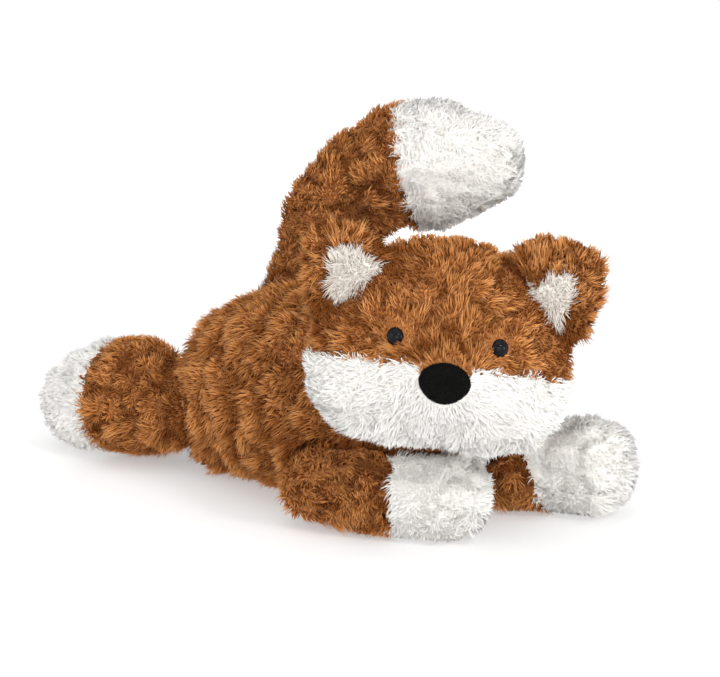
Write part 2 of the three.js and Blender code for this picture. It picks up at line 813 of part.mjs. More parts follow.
const head = new THREE.Group();
head.applyMatrix4(headMatrix);
head.add(pieces.head_crown, pieces.face_mask, pieces.head_filling, pieces.nose);
for (const name of Object.keys(sides)) {
  head.add(pieces[`eye_${name}`], pieces[`eye_washer_${name}`], ears[name]);
}
fox.add(head);

export default fox;
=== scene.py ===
# %% [markdown]
# # A plush fox
# The fox is a stuffed toy that lies on its belly. It is sewn from panels of brown and of white pile fabric,
# and what the eye sees is almost only pile: thousands of soft strands, gathered in tufts and combed over by
# hands. So there are three steps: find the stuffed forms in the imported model, sew each panel, and grow the
# pile on it.

# %% Load the frame
import json
import math

import bmesh
import bpy
import numpy as np
from mathutils import Matrix, Vector, noise
from mathutils.bvhtree import BVHTree


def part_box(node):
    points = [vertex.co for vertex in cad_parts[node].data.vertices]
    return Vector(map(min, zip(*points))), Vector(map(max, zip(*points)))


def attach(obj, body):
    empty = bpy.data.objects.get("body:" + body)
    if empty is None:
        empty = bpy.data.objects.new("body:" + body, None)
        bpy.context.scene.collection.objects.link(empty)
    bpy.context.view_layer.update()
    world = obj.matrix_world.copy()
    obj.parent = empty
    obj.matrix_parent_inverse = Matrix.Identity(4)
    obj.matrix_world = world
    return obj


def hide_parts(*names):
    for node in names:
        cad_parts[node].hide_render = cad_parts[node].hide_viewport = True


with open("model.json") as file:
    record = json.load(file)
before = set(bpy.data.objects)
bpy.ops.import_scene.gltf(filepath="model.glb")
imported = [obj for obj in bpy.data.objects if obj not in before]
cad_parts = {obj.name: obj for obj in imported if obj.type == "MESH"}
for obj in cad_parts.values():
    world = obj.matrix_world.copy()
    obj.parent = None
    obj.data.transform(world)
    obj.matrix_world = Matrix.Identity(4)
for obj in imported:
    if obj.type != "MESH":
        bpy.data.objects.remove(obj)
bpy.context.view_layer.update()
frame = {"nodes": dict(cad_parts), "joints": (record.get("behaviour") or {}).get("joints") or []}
cad = frame["nodes"]
MM = 0.001
print("CAD nodes:", len(cad))

# %% [markdown]
# The photograph is taken from in front and from the fox's right, a little above it, with a long lens. The
# camera comes first, so that every later step can be looked at through it.

# %% Camera
CAMERA_AZIMUTH = math.radians(-38)
CAMERA_ELEVATION = math.radians(12)
CAMERA_DISTANCE = 1100 * MM
CAMERA_TARGET = Vector((103.4, 91.8, 50)) * MM
CAMERA_LENS = 94.6


def add_object(name, data):
    made = bpy.data.objects.new(name, data)
    bpy.context.scene.collection.objects.link(made)
    return made


camera = add_object("camera", bpy.data.cameras.new("camera"))
camera.data.lens = CAMERA_LENS
level = math.cos(CAMERA_ELEVATION)
towards_camera = Vector((
    math.sin(CAMERA_AZIMUTH) * level,
    -math.cos(CAMERA_AZIMUTH) * level,
    math.sin(CAMERA_ELEVATION),
))
camera.location = CAMERA_TARGET + CAMERA_DISTANCE * towards_camera
camera.rotation_euler = (-towards_camera).to_track_quat("-Z", "Y").to_euler()
bpy.context.scene.camera = camera

# %% [markdown]
# Node trees are built by two small helpers, one that adds a node and one for a sum on numbers or on
# vectors. An input is either a number or another node's output.

# %% Helpers for node trees
def node(tree, kind, inputs=(), **settings):
    made = tree.nodes.new(kind)
    for name, value in settings.items():
        setattr(made, name, value)
    for key, value in dict(inputs).items():
        if isinstance(value, bpy.types.NodeSocket):
            tree.links.new(value, made.inputs[key])
        else:
            made.inputs[key].default_value = value
    return made


def number(tree, operation, *values):
    return node(tree, "ShaderNodeMath", dict(enumerate(values)), operation=operation).outputs[0]


def vector(tree, operation, *values):
    made = node(tree, "ShaderNodeVectorMath", operation=operation)
    scale = operation == "SCALE"
    for key, value in zip((0, 3) if scale else (0, 1), values):
        if isinstance(value, bpy.types.NodeSocket):
            tree.links.new(value, made.inputs[key])
        else:
            made.inputs[key].default_value = value
    return made.outputs["Value" if operation == "DOT_PRODUCT" else "Vector"]


# %% [markdown]
# The pile's colour changes along each strand and from tuft to tuft: dark at the root, a painted shade
# where little light comes, and lighter at the tip, a painted highlight. Each strand carries a UV map for
# this, with its own shade across and its length up, so one small palette colours every strand of a fabric.

# %% Pile materials
PALETTE_MAP = "OFBake"


def ramp(tree, factor, stops):
    made = node(tree, "ShaderNodeValToRGB", {"Fac": factor})
    elements = made.color_ramp.elements
    for _ in stops[2:]:
        elements.new(0.5)
    for element, (place, colour) in zip(elements, stops):
        element.position = place
        element.color = (*colour, 1)
    return made.outputs["Color"]


def new_material(name):
    made = bpy.data.materials.new(name)
    made.use_nodes = True
    made.node_tree.nodes.clear()
    return made, made.node_tree


def finish_material(tree, shader):
    node(tree, "ShaderNodeOutputMaterial", {"Surface": shader.outputs[0]})


def pile_material(name, along, shades, roughness=1):
    made, tree = new_material(name)
    palette = node(tree, "ShaderNodeUVMap", uv_map=PALETTE_MAP).outputs[0]
    place = node(tree, "ShaderNodeSeparateXYZ", {0: palette})
    mixed = node(tree, "ShaderNodeMix", {
        "Factor": 1,
        "A": ramp(tree, place.outputs["Y"], along),
        "B": ramp(tree, place.outputs["X"], shades),
    }, data_type="RGBA", blend_type="MULTIPLY")
    shader = node(tree, "ShaderNodeBsdfPrincipled", {
        "Base Color": mixed.outputs["Result"],
        "Roughness": roughness,
        "Specular IOR Level": 0.08,
    })
    finish_material(tree, shader)
    return made


brown_pile = pile_material(
    "brown pile",
    along=[
        # the root end is a painted shade and the tip end a painted highlight
        (0, (0.35, 0.111, 0.02)),
        (0.35, (0.59, 0.222, 0.054)),
        (0.75, (0.8, 0.37, 0.128)),
        (1, (0.95, 0.58, 0.3)),
    ],
    # the dark low end is painted shade, for creases, the edges of tufts and places near other parts
    shades=[(0, (0.28, 0.19, 0.12)), (0.5, (0.82, 0.79, 0.76)), (1, (1, 1, 1))],
)
white_pile = pile_material(
    "white pile",
    along=[(0, (0.93, 0.91, 0.87)), (0.4, (0.95, 0.935, 0.9)), (1, (0.965, 0.95, 0.925))],
    shades=[(0, (0.97, 0.965, 0.96)), (0.5, (0.99, 0.988, 0.985)), (1, (1, 1, 1))],
)
lining_pile = pile_material(
    "ear lining pile",
    along=[(0, (0.62, 0.55, 0.47)), (0.4, (0.76, 0.71, 0.65)), (1, (0.86, 0.82, 0.77))],
    shades=[(0, (0.85, 0.82, 0.8)), (0.5, (0.95, 0.94, 0.93)), (1, (1, 1, 1))],
)
felt_pile = pile_material(
    "black felt fibres",
    along=[(0, (0.002, 0.002, 0.002)), (1, (0.012, 0.012, 0.011))],
    shades=[(0, (0.4, 0.4, 0.4)), (0.7, (0.7, 0.7, 0.7)), (1, (1, 1, 1))],
    roughness=0.8,
)

# %% [markdown]
# Under the pile lies a knitted backing. It shows only between the strands, a little uneven in colour, with
# a fine knit in its bump; the brown one is darker, partly a painted shade for the depth between strands.
# The nose's felt is made the same way. The eyes are black beads, glossy but lightly scuffed.

# %% Backing, felt and bead materials
KNIT_SCALE = 900
KNIT_DEPTH = 0.4 * MM
PATCH_SCALE = 60
SCUFF_SCALE = 700
SCUFF_DEPTH = 0.05 * MM


def cloth_material(name, dark, light, bump, sheen=0.2):
    made, tree = new_material(name)
    place = node(tree, "ShaderNodeTexCoord").outputs["Object"]
    patches = node(tree, "ShaderNodeTexNoise", {"Vector": place, "Scale": PATCH_SCALE, "Detail": 4})
    knit = node(tree, "ShaderNodeTexVoronoi", {"Vector": place, "Scale": KNIT_SCALE})
    relief = node(tree, "ShaderNodeBump", {
        "Height": knit.outputs["Distance"], "Strength": bump, "Distance": KNIT_DEPTH,
    })
    shader = node(tree, "ShaderNodeBsdfPrincipled", {
        "Base Color": ramp(tree, patches.outputs["Fac"], [(0.3, dark), (0.7, light)]),
        "Roughness": 0.9,
        "Sheen Weight": sheen,
        "Specular IOR Level": 0.1,
        "Normal": relief.outputs["Normal"],
    })
    finish_material(tree, shader)
    return made


# the brown backing is darker than its pile, partly a painted shade for the depth between strands
brown_cloth = cloth_material("brown backing", (0.26, 0.09, 0.024), (0.38, 0.15, 0.045), 0.5)
white_cloth = cloth_material("white backing", (0.86, 0.83, 0.78), (0.93, 0.91, 0.87), 0.5)
nose_felt = cloth_material("black felt", (0.003, 0.003, 0.003), (0.008, 0.008, 0.007), 1, sheen=0)


def bead_material():
    made, tree = new_material("glossy black bead")
    place = node(tree, "ShaderNodeTexCoord").outputs["Object"]
    scuffs = node(tree, "ShaderNodeTexNoise", {"Vector": place, "Scale": SCUFF_SCALE, "Detail": 3})
    relief = node(tree, "ShaderNodeBump", {
        "Height": scuffs.outputs["Fac"], "Strength": 0.03, "Distance": SCUFF_DEPTH,
    })
    blacks = [(0.3, (0.003, 0.003, 0.004)), (0.7, (0.008, 0.008, 0.01))]
    shader = node(tree, "ShaderNodeBsdfPrincipled", {
        "Base Color": ramp(tree, scuffs.outputs["Fac"], blacks),
        "Roughness": 0.06,
        "Specular IOR Level": 0.11,
        "Normal": relief.outputs["Normal"],
    })
    finish_material(tree, shader)
    return made


bead = bead_material()
washer_plastic = cloth_material("washer plastic", (0.75, 0.75, 0.73), (0.8, 0.8, 0.78), 0.02)

# %% [markdown]
# The fox has nine stuffed parts. Each is named for the body that it moves with, and has the panels that it
# is sewn from and what fills it. The neck comes later.

# %% Parts
PARTS = {
    "torso": (["body_skin", "chest_bib"], ["body_filling", "pellet_bag"]),
    "head": (["head_crown", "face_mask"], ["head_filling"]),
    "arm_right": (["arm_right_sleeve", "paw_right"], ["arm_right_filling"]),
    "arm_left": (["arm_left_sleeve", "paw_left"], ["arm_left_filling"]),
    "leg_right": (["leg_right_sleeve", "foot_right"], ["leg_right_filling"]),
    "leg_left": (["leg_left_sleeve", "foot_left"], ["leg_left_filling"]),
    "tail": (["tail_sleeve", "tail_tip"], ["tail_filling"]),
    "ear_right_body": (["ear_right", "ear_lining_right"], []),
    "ear_left_body": (["ear_left", "ear_lining_left"], []),
}
WHITE = {"chest_bib", "face_mask", "paw_right", "paw_left", "foot_right", "foot_left", "tail_tip"}
WHITE |= {"ear_lining_right", "ear_lining_left"}

body_of = {panel: body for body, (panels, _) in PARTS.items() for panel in panels}

# %% [markdown]
# Each stuffed part is one closed form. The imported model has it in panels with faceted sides, so the panels
# and the filling of a part are joined, given one even skin by a voxel remesh, and smoothed. Then the form
# is drawn in by the depth of the pile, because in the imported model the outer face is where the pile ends.
# It is drawn in less where there is no pile: at the eyes and the nose, on the floor, and where two parts
# press on each other.

# %% Stuffed forms
FORM_VOXEL = 2.5 * MM
EAR_VOXEL = 1.5 * MM
FORM_ROUNDS = 10
NECK_ROUNDS = 4
SMOOTHING = 0.5
PILE_DEPTH = 4 * MM
PILE_DEPTHS = {"torso": 3 * MM, "head": 2.5 * MM, "tail": 2.2 * MM, "ear": 1.2 * MM}
MERGE = 0.01 * MM
FLOOR_REACH = 12 * MM
EYE_CLEAR = 3.5 * MM
FADE = 8 * MM
LEAST_INSET = 0.1
FORM_LOWEST = 0.3 * MM


def tree_of(name):
    mesh = cad[name].data
    return BVHTree.FromPolygons([v.co for v in mesh.vertices], [p.vertices for p in mesh.polygons])


def centre_of(name):
    low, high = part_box(name)
    return (low + high) / 2


cad_trees = {name: tree_of(name) for name in cad}
EYES = [centre_of("eye_right"), centre_of("eye_left")]
NOSE = centre_of("nose")


def joined(names):
    shape = bmesh.new()
    for name in names:
        shape.from_mesh(cad[name].data)
    bmesh.ops.remove_doubles(shape, verts=shape.verts, dist=MERGE)
    mesh = bpy.data.meshes.new("joined")
    shape.to_mesh(mesh)
    shape.free()
    return mesh


def applied(work, name):
    """A plain mesh of an object with its modifiers, in place of that object."""
    graph = bpy.context.evaluated_depsgraph_get()
    mesh = bpy.data.meshes.new_from_object(work.evaluated_get(graph))
    mesh.name = name
    bpy.data.objects.remove(work)
    return mesh


def add_modifier(work, kind, **settings):
    made = work.modifiers.new(kind.title(), kind)
    for name, value in settings.items():
        setattr(made, name, value)
    return made


def islands(shape):
    """The connected groups of faces of a bmesh, largest first."""
    left = set(shape.faces)
    groups = []
    while left:
        group = {left.pop()}
        edge_of_group = list(group)
        while edge_of_group:
            face = edge_of_group.pop()
            for edge in face.edges:
                for other in edge.link_faces:
                    if other in left:
                        left.remove(other)
                        group.add(other)
                        edge_of_group.append(other)
        groups.append(group)
    return sorted(groups, key=len, reverse=True)


def share_between(value, low, high):
    return min(max((value - low) / (high - low), 0), 1)


def inset_share(place, body):
    """How much of the pile's depth the form is drawn in by at a place, from 0 to 1."""
    share = share_between(place.z, 0, FLOOR_REACH)
    if body == "head":
        for eye in EYES:
            share = min(share, share_between((place - eye).length, EYE_CLEAR, EYE_CLEAR + FADE))
        share = min(share, share_between(cad_trees["nose"].find_nearest(place)[3], 0, FADE))
    for name, tree in cad_trees.items():
        if body_of.get(name, body) != body:
            hit = tree.find_nearest(place, FADE)
            if hit[0] is not None:
                share = min(share, hit[3] / FADE)
    return max(share, LEAST_INSET)


# %% [markdown]
# The fabric isn't smooth under its pile. On the body it lies in rolls that run round it, and everywhere in
# low lumps, so the form gets these before anything grows on it. They are worked out from noise, and how
# deep a place is in a crease is kept too, because pile is pressed there and darkened with painted shade.

# %% Rolls and lumps
ROLL_SPACING = 23 * MM
ROLL_DEPTH = 8 * MM
ROLL_RISE = 0.36
ROLL_DROP = 0.1
ROLL_SWAY = 9 * MM
ROLL_WAVE = 38 * MM
ROLL_SLANT_X = -0.35
ROLL_SLANT_Z = 0.15
ROLL_STRENGTH = 0.85
ROLL_UNEVENNESS = 0.7
ROLL_KEY = Vector((5, 5, 5))  # any vector of some length, so that the strength doesn't follow the sway
LUMPS = {"torso": 15 * MM, "head": 11 * MM, "ear": 9 * MM, "neck": 9 * MM}
LUMP_DEPTHS = {"torso": 4 * MM, "head": 3.6 * MM, "ear": 0.6 * MM, "neck": 0}
LIMB_LUMP = 15 * MM
LIMB_LUMP_DEPTH = 5.5 * MM
LUMP_RIM = 0.22
LUMP_BEND = 0.35
# the same share also darkens the pile with painted shade in creases
LUMP_CREASE = 0.6  # how far pile is pressed between lumps, where between rolls it is 1
LUMP_LEAN = 2
LUMP_KEY = 7.3  # any number that isn't whole, to get a different way for each lump
WHITE_LUMPS = 0.35
LUMP_SEED = 1  # noise_vector starts from the clock unless its seed is set

noise.seed_set(LUMP_SEED)


def roll_crease(place):
    """1 in a crease between two of the body's rolls, 0 on top of one. Each roll drops steeply at its rear."""
    sway = noise.noise(place / ROLL_WAVE) * ROLL_SWAY
    turn = (place.y + ROLL_SLANT_X * place.x + ROLL_SLANT_Z * place.z + sway) / ROLL_SPACING
    part = turn - math.floor(turn)
    strength = ROLL_STRENGTH + ROLL_UNEVENNESS * noise.noise(place / ROLL_WAVE + ROLL_KEY)
    return strength * max(1 - part / ROLL_RISE, (part - 1 + ROLL_DROP) / ROLL_DROP, 0)


def lump_at(place, kind):
    """How far a place is from the next lump, in lumps, and the middle of its own lump."""
    size = LUMPS.get(kind, LIMB_LUMP)
    bent = place / size + noise.noise_vector(place / size) * LUMP_BEND
    away, middles = noise.voronoi(bent)
    return away[1] - away[0], middles[0]


def lump_crease(place, kind):
    """1 between two lumps of the fabric, falling to 0 on a lump."""
    return max(1 - lump_at(place, kind)[0] / LUMP_RIM, 0)


def lump_way(place, kind):
    """The way that the pile of a lump is pressed, the same all over that lump."""
    return noise.noise_vector(lump_at(place, kind)[1] * LUMP_KEY) * LUMP_LEAN


def creases_at(place, body):
    """How far a place is in a crease, from 0 to about 1, and how deep. White fabric lies smoother."""
    kind = body.split("_")[0]
    lump = lump_crease(place, kind)
    if body in PARTS:
        panels = PARTS[body][0]
        if panels[nearest_panel(place, panels)] in WHITE:
            lump *= WHITE_LUMPS
    deep = lump * LUMP_DEPTHS.get(kind, LIMB_LUMP_DEPTH)
    if kind != "torso":
        return lump, deep
    roll = roll_crease(place)
    return max(roll, LUMP_CREASE * lump), max(roll * ROLL_DEPTH, deep)


# %% [markdown]
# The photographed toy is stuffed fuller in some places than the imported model, and slacker in others. There
# the form is pulled a few millimetres. Each pull names its body, its middle, its spread and how far it
# pulls, in mm.

# %% Pulls, and the making of a form
PULLS = [
    ("torso", (-38, 52, 14), 20, (0, 6, -12)),
    ("torso", (32, 52, 14), 20, (0, 6, -12)),
    ("leg_right", (-50, 110, 8), 20, (2.5, 3, 4)),
    ("leg_left", (44, 110, 8), 20, (-2.5, 3, 4)),
    ("leg_right", (-38, 66, 12), 14, (-1, -4, -3)),
    ("leg_left", (32, 66, 12), 14, (1, -4, -3)),
    ("head", (-69, -98, 92), 24, (-2.8, 2, 0)),
    ("head", (-19, -127, 144), 34, (0.3, 0.5, 3)),
    ("ear_left_body", (6, -158, 137), 16, (1.4, 1.8, 10.5)),
    ("tail", (9, 22, 133), 35, (-3.5, 2.8, 0)),
    ("tail", (80, -55, 176), 25, (2.5, -2, 0.5)),
    ("arm_right", (-46, -50, 14), 20, (-5, 3.5, -2)),
]


def pulled(place, body):
    """A place of a form, moved by the pulls on that form, each of which fades out with the distance."""
    moved = place.copy()
    for name, middle, spread, pull in PULLS:
        if name == body:
            away = (place - Vector(middle) * MM).length / (spread * MM)
            moved += Vector(pull) * MM * math.exp(-away**2)
    return moved


EAR_ROOT = 9 * MM
EAR_SINK = 6 * MM
HEAD_CENTRE = centre_of("head_crown")


def sunk(place, body):
    """The move that takes an ear's root into the head, so that no gap opens where it is sewn on."""
    if not body.startswith("ear"):
        return Vector()
    near = 1 - share_between(cad_trees["head_crown"].find_nearest(place)[3], 0, EAR_ROOT)
    return (HEAD_CENTRE - place).normalized() * near * EAR_SINK


def stuffed_form(names, depth, body, voxel=FORM_VOXEL, rounds=FORM_ROUNDS):
    """The outer form of some CAD solids, smoothed, creased, pulled and drawn in by a depth."""
    work = add_object("form", joined(names))
    add_modifier(work, "REMESH", mode="VOXEL", voxel_size=voxel)
    add_modifier(work, "SMOOTH", factor=SMOOTHING, iterations=rounds)
    shape = bmesh.new()
    shape.from_mesh(applied(work, "form"))
    for inner in islands(shape)[1:]:
        bmesh.ops.delete(shape, geom=list(inner), context="FACES")
    shape.normal_update()
    crease_layer = shape.verts.layers.float.new("crease")
    insets = []
    for vertex in shape.verts:
        crease, deep = creases_at(vertex.co, body)
        share = inset_share(vertex.co, body)
        vertex[crease_layer] = crease * share
        insets.append(vertex.normal * (depth + deep) * share)
    for vertex, inset in zip(shape.verts, insets):
        vertex.co = pulled(vertex.co, body) + sunk(vertex.co, body) - inset
        vertex.co.z = max(vertex.co.z, FORM_LOWEST)
    every_way = dict(use_axis_x=True, use_axis_y=True, use_axis_z=True)
    bmesh.ops.smooth_vert(shape, verts=shape.verts, factor=SMOOTHING, **every_way)
    return shape


# %% [markdown]
# A part that is sewn from two colours is then split where its panels meet. Each face of the form belongs to
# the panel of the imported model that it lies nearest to. Both halves are closed along the seam, as a stuffed
# piece is.

# %% Panels
FILTER_ROUNDS = 3
SEAM_SHIFT = {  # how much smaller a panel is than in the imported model
    "ear_lining_left": 1.2 * MM,
    "paw_right": -1.5 * MM,
    "tail_tip": 1 * MM,
    "foot_right": 2 * MM,
}


def nearest_panel(place, panels):
    """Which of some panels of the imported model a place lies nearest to, counted from 0."""
    def away(i):
        return cad_trees[panels[i]].find_nearest(place)[3] + SEAM_SHIFT.get(panels[i], 0)
    return min(range(len(panels)), key=away)


def label_faces(shape, panels, depth):
    """The panel of each face, then evened out by a vote among its neighbours."""
    shape.normal_update()
    labels = {f: nearest_panel(f.calc_center_median() + f.normal * depth, panels) for f in shape.faces}
    for _ in range(FILTER_ROUNDS):
        votes = {}
        for face in shape.faces:
            near = [labels[other] for edge in face.edges for other in edge.link_faces]
            votes[face] = max(set(near), key=near.count)
        labels = votes
    return labels


def closed_panel(shape, labels, wanted, name):
    """The faces of one panel, closed over its open edge. The attribute "outer" marks those with pile."""
    part = shape.copy()
    part.faces.ensure_lookup_table()
    order = list(shape.faces)
    unwanted = [part.faces[i] for i, face in enumerate(order) if labels[face] != wanted]
    bmesh.ops.delete(part, geom=unwanted, context="FACES")
    for stray in islands(part)[1:]:
        bmesh.ops.delete(part, geom=list(stray), context="FACES")
    outer = part.faces.layers.bool.new("outer")
    for face in part.faces:
        face[outer] = True
        face.smooth = True
    open_edges = [e for e in part.edges if e.is_boundary]
    if open_edges:
        filled = bmesh.ops.holes_fill(part, edges=open_edges, sides=0)["faces"]
        filled = bmesh.ops.triangulate(part, faces=filled)["faces"]
        for face in filled:
            face[outer] = False
    bmesh.ops.recalc_face_normals(part, faces=part.faces)
    if part.calc_volume(signed=True) < 0:
        bmesh.ops.reverse_faces(part, faces=part.faces)
    mesh = bpy.data.meshes.new(name)
    part.to_mesh(mesh)
    part.free()
    return mesh


# %% [markdown]
# With that, the form of every part is made and split into its panels.

# %% The panels of every part
panel_meshes = {}
for body, (panels, fillings) in PARTS.items():
    kind = body.split("_")[0]
    depth = PILE_DEPTHS.get(kind, PILE_DEPTH)
    form = stuffed_form(panels + fillings, depth, body, EAR_VOXEL if kind == "ear" else FORM_VOXEL)
    labels = label_faces(form, panels, depth)
    for i, panel in enumerate(panels):
        panel_meshes[panel] = closed_panel(form, labels, i, f"{panel} form")
        print(panel, len(panel_meshes[panel].polygons), "faces")
    form.free()

# %% [markdown]
# Pile is short where another part presses on the fabric, and it doesn't grow where the fox lies on the
# floor. From each point of a panel a ray goes out along the surface's normal: the room that it finds tells
# how long the pile may be. Fabric that is hidden inside a joint keeps short pile too, because it shows when
# the joint opens.

# %% Room for the pile
FULL_ROOM = 10 * MM
LEAST_ROOM = 0.8 * MM
LEAST_SHARE = 0.35
RAY_START = 0.3 * MM
# how far other parts reach to darken the pile with painted shade
PAINTED_SHADE_REACH = 16 * MM
EYE_BALD = 4.1 * MM
EYE_SHORT = 5 * MM
EYE_LONG = 11 * MM
BESIDE_EYE = 0.5
BESIDE_NOSE = 0.45
NOSE_SHORT = 8 * MM


def room_at(place, normal, body):
    """How far it is to the next part, and to the floor, along the normal."""
    room = FULL_ROOM
    for name, tree in cad_trees.items():
        if body_of.get(name, body) == body:
            continue
        hit = tree.ray_cast(place + normal * RAY_START, normal, FULL_ROOM)
        if hit[0] is not None:
            room = min(room, hit[3])
    above_floor = place.z / -normal.z if normal.z < 0 else FULL_ROOM
    return room, above_floor


def nearness_for_painted_shade(panel, mesh):
    """How near the parts next to this one are, for a painted shade on the pile there."""
    found = []
    for vertex in mesh.vertices:
        away = PAINTED_SHADE_REACH
        for name, tree in cad_trees.items():
            if body_of.get(name, body_of[panel]) != body_of[panel]:
                hit = tree.find_nearest(vertex.co, away)
                away = away if hit[0] is None else hit[3]
        found.append((1 - away / PAINTED_SHADE_REACH) ** 2)
    return np.array(found)


def read_vectors(mesh, kind="co"):
    values = np.zeros(len(mesh.vertices) * 3, np.float32)
    source = mesh.vertices if kind == "co" else mesh.vertex_normals
    source.foreach_get("co" if kind == "co" else "vector", values)
    return values.reshape(-1, 3).astype(float)


def near_nose(places):
    """The distance from each place to the nose."""
    return np.array([cad_trees["nose"].find_nearest(Vector(p))[3] for p in places])


def beside_eye(places, eye):
    """The share of its length that pile has near an eye: none on the bead, and short beside it."""
    away = np.linalg.norm(places - np.array(eye), axis=1)
    grown = np.clip((away - EYE_SHORT) / (EYE_LONG - EYE_SHORT), 0, 1)
    return np.where(away > EYE_BALD, BESIDE_EYE + (1 - BESIDE_EYE) * grown, 0)


def pile_shares(panel, mesh):
    """How much of its full length the pile has at each point of a panel."""
    places, normals = read_vectors(mesh), read_vectors(mesh, "normal")
    found = [room_at(Vector(p), Vector(n), body_of[panel]) for p, n in zip(places, normals)]
    rooms, above_floor = np.array(found).T
    share = np.clip((np.minimum(rooms, above_floor) - LEAST_ROOM) / (FULL_ROOM - LEAST_ROOM), 0, 1)
    shares = np.where(above_floor > LEAST_ROOM, LEAST_SHARE + (1 - LEAST_SHARE) * share, 0)
    if panel in ("head_crown", "face_mask"):
        for eye in EYES:
            shares *= beside_eye(places, eye)
        shares *= BESIDE_NOSE + (1 - BESIDE_NOSE) * np.clip(near_nose(places) / NOSE_SHORT, 0, 1)
    return shares


# %% [markdown]
# Pile lies the way that the fabric was cut and stroked. On the face it runs away from the nose, on the ears
# out to their rims, on the legs and the tail towards their tips, and on the body back and down. On top of
# that, each lump of the fabric has its pile pressed its own way.

# %% How the pile lies
LUMP_SWAY = {"torso": 0.6, "head": 1, "ear": 0.3}
LIMB_SWAY = 1.1
BODY_LAY = (-0.1, 0.75, -0.65)
LIMB_SAG = np.array((0, 0, -30)) * MM
NOSE_COMB = 1.5
NOSE_COMB_REACH = 9 * MM
SHORTEST = 1e-6
LIMB_JOINTS = {
    "arm_right": "arm_right_swing",
    "arm_left": "arm_left_swing",
    "leg_right": "leg_right_lift",
    "leg_left": "leg_left_lift",
}


def frame_joint(name):
    return next(j for j in frame["joints"] if j["name"] == name)["pos_m"]


def directions(panel, places):
    """The way that the pile of a panel is combed at each place, not yet level with the surface."""
    body = body_of[panel]
    if body == "head":
        return places - np.array(NOSE)
    if body.startswith("ear"):
        return places - np.array(centre_of(panel))
    if body == "torso":
        return np.tile(BODY_LAY, (len(places), 1))
    if body == "tail":
        root = np.array(frame_joint("tail_fold"))
        tip = np.array(centre_of("tail_tip"))
        return np.tile(tip - root, (len(places), 1))
    root = np.array(frame_joint(LIMB_JOINTS[body]))
    tip = np.array(centre_of(PARTS[body][0][1]))
    return np.tile(tip - root, (len(places), 1)) + LIMB_SAG


def along_surface(ways, normals):
    return ways - normals * (ways * normals).sum(1, keepdims=True)


def lay_vectors(panel, mesh):
    """The lean of the pile at each point of a panel, along the surface, as a share of the strand's length."""
    places, normals = read_vectors(mesh), read_vectors(mesh, "normal")
    lay = along_surface(directions(panel, places), normals)
    lay /= np.maximum(np.linalg.norm(lay, axis=1, keepdims=True), SHORTEST)
    kind = body_of[panel].split("_")[0]
    ways = np.array([lump_way(Vector(p), kind) for p in places])
    lay += LUMP_SWAY.get(kind, LIMB_SWAY) * along_surface(ways, normals)
    if body_of[panel] == "head":
        lay *= 1 + NOSE_COMB * np.exp(-near_nose(places) / NOSE_COMB_REACH)[:, None]
    return lay


def put_attribute(mesh, name, kind, values):
    layer = mesh.attributes.get(name) or mesh.attributes.new(name, kind, "POINT")
    layer.data.foreach_set("vector" if kind == "FLOAT_VECTOR" else "value", values.astype(np.float32).ravel())


for panel, mesh in panel_meshes.items():
    put_attribute(mesh, "pile", "FLOAT", pile_shares(panel, mesh))
    put_attribute(mesh, "lay", "FLOAT_VECTOR", lay_vectors(panel, mesh))
    # how near other parts are, for a painted shade on the pile
    put_attribute(mesh, "shut in", "FLOAT", nearness_for_painted_shade(panel, mesh))

# %% [markdown]
# The pile is a Geometry Nodes tree. It scatters points over the panel, puts one thin pyramid of three sides
# and two lengths on each, and then bends them. A strand stands up along the normal and leans over: with the
# lay of the fabric, with slow swirls, with its tuft, and towards the middle of its wisp. Tufts and wisps
# are the cells of two Voronoi textures, one coarse and one fine. In creases, and near other parts, strands
# are shorter, and darker with painted shade, as they are at the edges of tufts.

# %% The tree that grows pile
STRAND_SIDES = 3
STRAND_LENGTHS = 2
BELLY = 2.8  # how much fuller a strand is half way up than a plain pyramid
BOW = 0.35  # how much of its height a strand loses by bending over
SWIRL_SIZE = 22 * MM
WARP_SIZE = 12 * MM
WARP = 5 * MM
FLOOR_CLEAR = 0.3 * MM
THINNEST = 0.15
BALD = 0.05
SWIRL_GAIN = 4  # noise stays near its middle, so what comes from it is made larger
LOCK_GAIN = 2
FRIZZ_GAIN = 3
TUFT_EDGE = 1.5  # a tuft's edge lies at 1 / 1.5 of its size from its middle
TUFT_LEAST = 0.9
TUFT_MORE = 0.3
SHORTEST_STRAND = 0.75
LONGEST_STRAND = 1.1
CREASE_SHORTER = 0.65
MIDDLE_SHADE = 0.45
TUFT_SHADE = 0.25
# painted shade: strands at the edge of a tuft are darker, as in the valleys between tufts
TUFT_EDGE_PAINTED_SHADE = 0.45
WISP_SHADE = 0.25
STRAND_SHADE = 0.15
# painted shade in creases
CREASE_PAINTED_SHADE = 0.85
# painted shade on pile near other parts
NEAR_PARTS_PAINTED_SHADE = 0.8
BEND_POWER = 1.5
SOCKETS = (
    "Density", "Length", "Thickness", "Comb", "Swirl", "Lock", "Frizz", "Crown", "Wisp", "Gather", "Soft",
)


